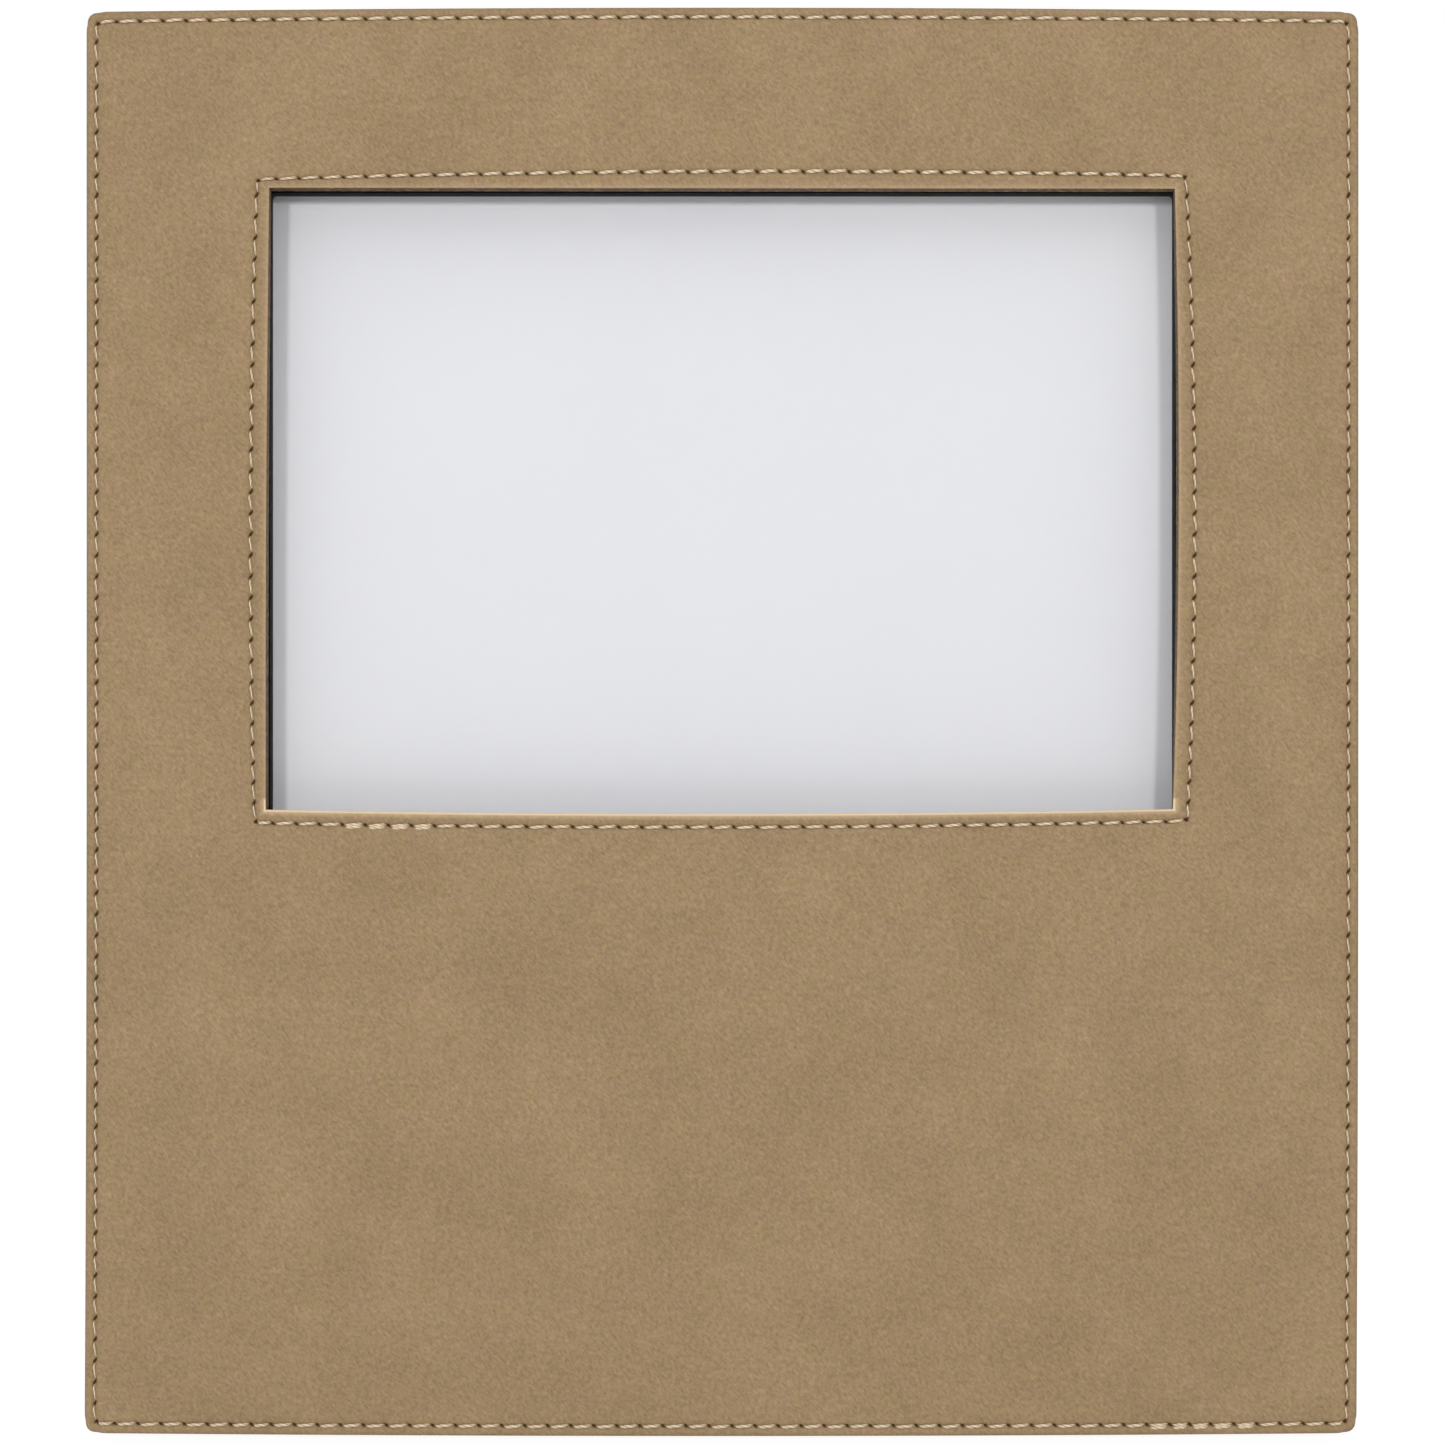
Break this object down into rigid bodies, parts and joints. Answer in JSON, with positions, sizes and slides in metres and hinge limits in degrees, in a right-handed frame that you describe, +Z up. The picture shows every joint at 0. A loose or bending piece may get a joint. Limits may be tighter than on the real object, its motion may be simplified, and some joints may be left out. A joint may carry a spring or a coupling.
{
  "type": "leatherette photo frame",
  "caption": "Table-top photo frame covered in stitched leatherette, with a landscape window above a plain area, and a hinged easel leg.",
  "frame": {"origin": "on the ground, under the middle of the frame's box, with the frame standing on its easel leg", "axes": "+Z up, the front faces -Y and leans back by 15 degrees, +X is to the right seen from the front"},
  "size_m": [0.23, 0.0964, 0.252],
  "materials": {
    "leatherette": "matt nubuck-like grain, warm brown beige",
    "thread": "twisted cream sewing thread",
    "fibreboard": "raw brown fibreboard",
    "mdf": "raw fibreboard edge",
    "velveteen": "black short-pile velveteen",
    "pane": "clear",
    "insert": "smooth blank white sheet",
    "card": "grey card",
    "plated_steel": "nickel-plated pressed steel"
  },
  "bodies": {
    "frame": {"front_cover": "leatherette", "outer_seam_thread": "thread", "window_seam_thread": "thread", "facing_board": "fibreboard", "core_frame": "mdf", "window_lining": "velveteen", "glass_pane": "pane", "insert_sheet": "insert", "filler_card": "card", "back_door": "mdf", "back_door_cover": "velveteen", "rear_lining": "velveteen", "turn_button_screw_1": "plated_steel", "turn_button_screw_2": "plated_steel", "turn_button_screw_3": "plated_steel", "turn_button_screw_4": "plated_steel", "hinge_fixed_leaf": "plated_steel", "hinge_pin": "plated_steel", "hinge_rivet_1": "plated_steel", "hinge_rivet_2": "plated_steel"},
    "leg": {"easel_leg": "mdf", "easel_leg_cover": "velveteen", "hinge_leg_leaf": "plated_steel", "hinge_rivet_3": "plated_steel", "hinge_rivet_4": "plated_steel"},
    "button_1": {"turn_button_1": "plated_steel"},
    "button_2": {"turn_button_2": "plated_steel"},
    "button_3": {"turn_button_3": "plated_steel"},
    "button_4": {"turn_button_4": "plated_steel"}
  },
  "joints": [
    {"name": "leg_fold", "type": "hinge", "parent": "frame", "child": "leg", "pos_m": [0, 0.01562, 0.16818], "axis": [-1, 0, 0], "range_deg": [0, 25.7]},
    {"name": "button_1_turn", "type": "hinge", "parent": "frame", "child": "button_1", "pos_m": [-0.09607, 0.00525, 0.20331], "axis": [0, 0.9659, -0.2588], "continuous": true},
    {"name": "button_2_turn", "type": "hinge", "parent": "frame", "child": "button_2", "pos_m": [0.09607, 0.00525, 0.20331], "axis": [0, 0.9659, -0.2588], "continuous": true},
    {"name": "button_3_turn", "type": "hinge", "parent": "frame", "child": "button_3", "pos_m": [-0.09607, -0.01442, 0.1299], "axis": [0, 0.9659, -0.2588], "continuous": true},
    {"name": "button_4_turn", "type": "hinge", "parent": "frame", "child": "button_4", "pos_m": [0.09607, -0.01442, 0.1299], "axis": [0, 0.9659, -0.2588], "continuous": true}
  ]
}
